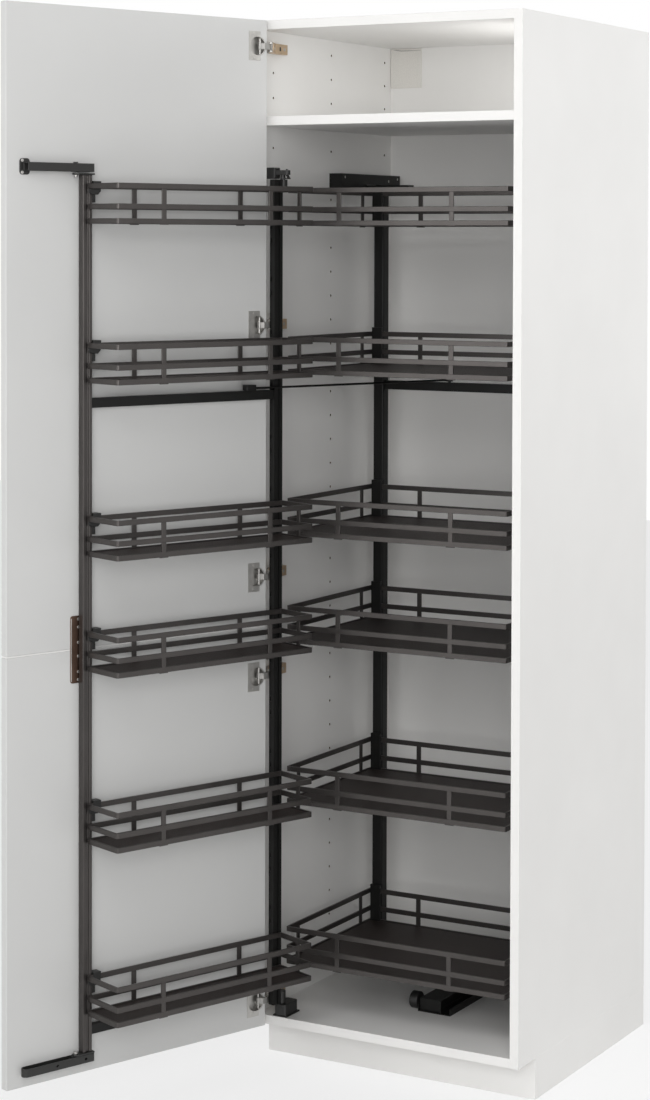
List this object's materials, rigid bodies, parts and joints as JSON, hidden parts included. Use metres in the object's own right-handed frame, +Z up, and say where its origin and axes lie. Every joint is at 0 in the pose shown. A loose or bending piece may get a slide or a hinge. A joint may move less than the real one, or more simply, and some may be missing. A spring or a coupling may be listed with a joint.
{
  "type": "tall kitchen cabinet with pull-out larder fitting",
  "caption": "Tall white kitchen cabinet on a plinth with joined doors, trays on a swing frame beside the door, and sliding inner trays pushed by a rod.",
  "frame": {"origin": "on the floor below the middle of the carcass, between its sides and halfway from its front edge to its rear edge", "axes": "+X to the right as seen facing the front, +Y from the front to the wall, +Z up"},
  "size_m": [0.7805, 1.1716, 2.08],
  "materials": {
    "white_board": "matt white foil on particle board",
    "white_plastic": "matt",
    "black_plastic": "matt",
    "anthracite": "satin anthracite lacquer",
    "dark_board": "dark textured foil",
    "nickel": "nickel-plated",
    "bronze": "bronze lacquer",
    "beech": "raw"
  },
  "bodies": {
    "carcass": {"side_left": "white_board", "side_right": "white_board", "top_board": "white_board", "floor_board": "white_board", "back_panel": "white_board", "fixed_shelf": "white_board", "shelf_dowels": "beech", "rear_battens": "white_board", "fixing_covers": "white_plastic", "plinth": "white_board", "legs": "black_plastic", "hinge_wall_plates": "nickel", "hinge_arms": "nickel", "floor_pivot": "anthracite", "top_pivot": "anthracite", "floor_guide": "anthracite", "top_guide": "anthracite"},
    "hinge_links": {"hinge_links": "nickel"},
    "doors": {"door_upper": "white_board", "door_lower": "white_board", "hinge_cups": "nickel", "hinge_screws": "nickel", "leaf_tie": "bronze", "leaf_tie_screws": "bronze", "top_arm": "anthracite", "top_arm_screws": "nickel", "lower_rail": "anthracite"},
    "runners": {"runners": "black_plastic"},
    "swing_frame": {"swing_post_pivot": "anthracite", "swing_post_free": "anthracite", "swing_bars": "anthracite", "swing_end_plates": "anthracite", "swing_bolts": "nickel", "pivot_sleeves": "anthracite", "swing_bases": "dark_board", "swing_tray_1": "anthracite", "swing_tray_2": "anthracite", "swing_tray_3": "anthracite", "swing_tray_4": "anthracite", "swing_tray_5": "anthracite", "swing_tray_6": "anthracite"},
    "inner_frame": {"inner_columns": "anthracite", "inner_bars": "anthracite", "carriage": "anthracite", "roller_arm": "anthracite", "rod_pin": "anthracite", "inner_bases": "dark_board", "inner_tray_1": "anthracite", "inner_tray_2": "anthracite", "inner_tray_3": "anthracite", "inner_tray_4": "anthracite", "inner_tray_5": "anthracite", "inner_tray_6": "anthracite"},
    "floor_wheel": {"floor_wheel": "black_plastic"},
    "top_roller": {"top_roller": "black_plastic"},
    "push_rod": {"push_rod": "anthracite"}
  },
  "joints": [
    {"name": "swing", "type": "hinge", "parent": "carcass", "child": "swing_frame", "pos_m": [-0.232, -0.288, 0.124], "axis": [0, 0, 1], "range_deg": [0, 110.6]},
    {"name": "link_fold", "type": "hinge", "parent": "carcass", "child": "hinge_links", "pos_m": [-0.256, -0.296, 0.9785], "axis": [0, 0, -1], "range_deg": [0, 55.3]},
    {"name": "door_turn", "type": "hinge", "parent": "hinge_links", "child": "doors", "pos_m": [-0.26306, -0.32517, 0.9785], "axis": [0, 0, 1], "range_deg": [0, 165.9]},
    {"name": "runner_slide", "type": "slide", "parent": "doors", "child": "runners", "axis": [-0.3518, -0.9361, 0], "range_m": [0, 0.09772]},
    {"name": "inner_slide", "type": "slide", "parent": "carcass", "child": "inner_frame", "axis": [0, 1, 0], "range_m": [0, 0.12571]},
    {"name": "wheel_roll", "type": "hinge", "parent": "inner_frame", "child": "floor_wheel", "pos_m": [-0.019, -0.113, 0.1154], "axis": [-1, 0, 0], "range_deg": [0, 423.7]},
    {"name": "roller_spin", "type": "hinge", "parent": "inner_frame", "child": "top_roller", "pos_m": [-0.267, 0.098, 1.773], "axis": [0, 0, 1], "range_deg": [0, 571.66]},
    {"name": "rod_swing", "type": "hinge", "parent": "inner_frame", "child": "push_rod", "pos_m": [-0.06, 0.098, 1.3546], "axis": [0, 0, 1], "range_deg": [0, 13.05]}
  ],
  "couplings": [
    {"joint": "link_fold", "follows": "swing", "ratio": 0.5},
    {"joint": "door_turn", "follows": "swing", "ratio": 1.5},
    {"joint": "runner_slide", "follows": "swing", "m_per_rad": 0.050623},
    {"joint": "inner_slide", "follows": "swing", "m_per_rad": 0.065126},
    {"joint": "wheel_roll", "follows": "swing", "ratio": 3.8309},
    {"joint": "roller_spin", "follows": "swing", "ratio": 5.1687},
    {"joint": "rod_swing", "follows": "swing", "ratio": 0.11797}
  ]
}
